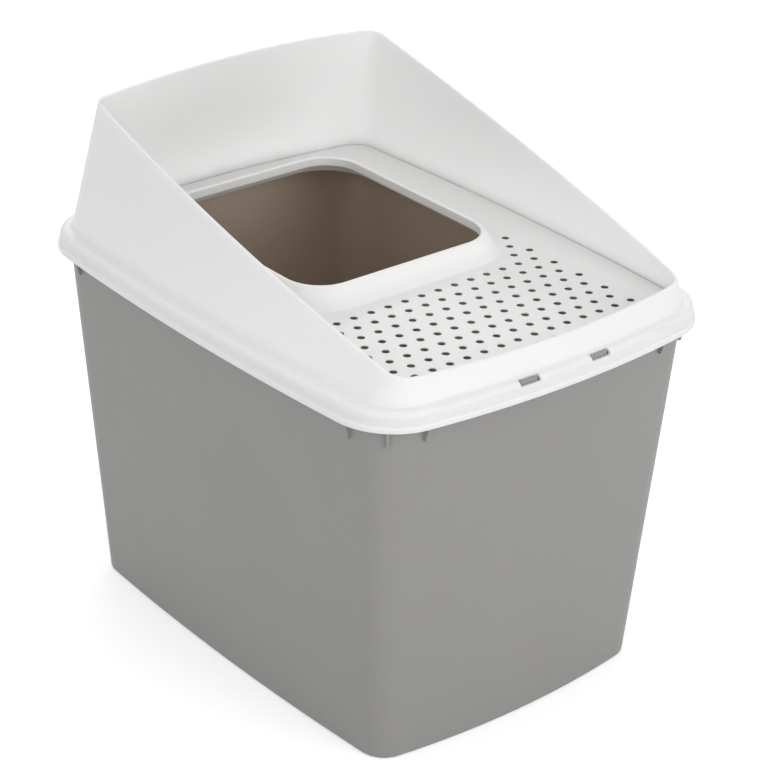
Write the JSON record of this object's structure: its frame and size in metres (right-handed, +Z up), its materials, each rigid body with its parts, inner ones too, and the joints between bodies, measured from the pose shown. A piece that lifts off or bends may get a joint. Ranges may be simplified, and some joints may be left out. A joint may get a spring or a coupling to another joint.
{
  "type": "top entry litter box",
  "caption": "Tapered bin under a perforated step deck with a raised entry collar, inside a sloping hood whose skirt overhangs the rim.",
  "frame": {"origin": "on the floor, under the middle of the box's outline (the hood's skirt is its widest part)", "axes": "+Z up, -Y towards the low front with the perforated step, +X to the right of someone facing the back wall"},
  "size_m": [0.4038, 0.5256, 0.5032],
  "materials": {
    "grey_plastic": "fine satin moulding",
    "white_plastic": "fine satin moulding"
  },
  "bodies": {
    "tub": {"litter_tub": "grey_plastic"},
    "deck": {"step_deck": "white_plastic"},
    "hood": {"surround_hood": "white_plastic"}
  },
  "joints": [
    {"name": "deck_lift", "type": "slide", "parent": "tub", "child": "deck", "axis": [0, 0, 1], "range_m": [0, 0.05]},
    {"name": "hood_lift", "type": "slide", "parent": "deck", "child": "hood", "axis": [0, 0, 1], "range_m": [0, 0.06]}
  ]
}
